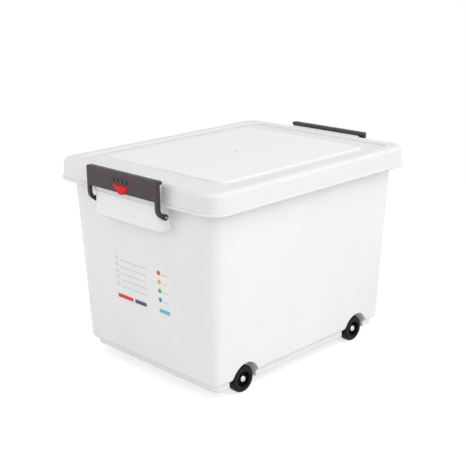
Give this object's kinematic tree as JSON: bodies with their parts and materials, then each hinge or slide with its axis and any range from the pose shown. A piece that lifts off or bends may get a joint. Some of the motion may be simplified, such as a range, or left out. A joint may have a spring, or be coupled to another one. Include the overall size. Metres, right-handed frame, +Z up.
{
  "type": "storage box",
  "caption": "Rolling storage box in translucent white plastic, with a sealed lift-off lid, a hinged hook latch with a colour clip at each end, finger grips and small wheels.",
  "frame": {"origin": "on the floor under the middle of the box", "axes": "+X across the width, +Y along the length towards the rear latch, +Z up"},
  "size_m": [0.4, 0.5368, 0.3733],
  "materials": {
    "natural_plastic": "satin, translucent natural white",
    "charcoal_plastic": "fine matt moulding texture",
    "red_plastic": "smooth",
    "seal_rubber": "smooth, pale silicone",
    "tyre_rubber": "smooth, hard rubber",
    "black_plastic": "satin",
    "plated_steel": "zinc plated"
  },
  "bodies": {
    "tub": {"box_body": "natural_plastic", "front_axle": "plated_steel", "rear_axle": "plated_steel", "front_left_axle_cap": "plated_steel", "front_right_axle_cap": "plated_steel", "rear_left_axle_cap": "plated_steel", "rear_right_axle_cap": "plated_steel", "front_left_latch_pin": "plated_steel", "front_right_latch_pin": "plated_steel", "rear_left_latch_pin": "plated_steel", "rear_right_latch_pin": "plated_steel"},
    "lid": {"lid": "natural_plastic", "lid_seal": "seal_rubber"},
    "front_latch": {"front_latch": "charcoal_plastic"},
    "rear_latch": {"rear_latch": "charcoal_plastic"},
    "front_clip": {"front_colour_clip": "red_plastic"},
    "rear_clip": {"rear_colour_clip": "red_plastic"},
    "front_left_wheel": {"front_left_tyre": "tyre_rubber", "front_left_hub": "black_plastic"},
    "front_right_wheel": {"front_right_tyre": "tyre_rubber", "front_right_hub": "black_plastic"},
    "rear_left_wheel": {"rear_left_tyre": "tyre_rubber", "rear_left_hub": "black_plastic"},
    "rear_right_wheel": {"rear_right_tyre": "tyre_rubber", "rear_right_hub": "black_plastic"}
  },
  "joints": [
    {"name": "lid_lift", "type": "slide", "parent": "tub", "child": "lid", "axis": [0, 0, 1], "range_m": [0, 0.06]},
    {"name": "front_latch_swing", "type": "hinge", "parent": "tub", "child": "front_latch", "pos_m": [0, -0.249, 0.313], "axis": [1, 0, 0], "range_deg": [0, 115]},
    {"name": "rear_latch_swing", "type": "hinge", "parent": "tub", "child": "rear_latch", "pos_m": [0, 0.249, 0.313], "axis": [-1, 0, 0], "range_deg": [0, 115]},
    {"name": "front_clip_pull", "type": "slide", "parent": "front_latch", "child": "front_clip", "axis": [0, -1, 0], "range_m": [0, 0.015]},
    {"name": "rear_clip_pull", "type": "slide", "parent": "rear_latch", "child": "rear_clip", "axis": [0, 1, 0], "range_m": [0, 0.015]},
    {"name": "front_left_wheel_spin", "type": "hinge", "parent": "tub", "child": "front_left_wheel", "pos_m": [-0.1515, -0.149, 0.024], "axis": [1, 0, 0], "continuous": true},
    {"name": "front_right_wheel_spin", "type": "hinge", "parent": "tub", "child": "front_right_wheel", "pos_m": [0.1515, -0.149, 0.024], "axis": [1, 0, 0], "continuous": true},
    {"name": "rear_left_wheel_spin", "type": "hinge", "parent": "tub", "child": "rear_left_wheel", "pos_m": [-0.1515, 0.149, 0.024], "axis": [1, 0, 0], "continuous": true},
    {"name": "rear_right_wheel_spin", "type": "hinge", "parent": "tub", "child": "rear_right_wheel", "pos_m": [0.1515, 0.149, 0.024], "axis": [1, 0, 0], "continuous": true}
  ],
  "couplings": [
    {"joint": "front_latch_swing", "follows": "lid_lift", "rad_per_m": 33.4},
    {"joint": "rear_latch_swing", "follows": "lid_lift", "rad_per_m": 33.4}
  ]
}
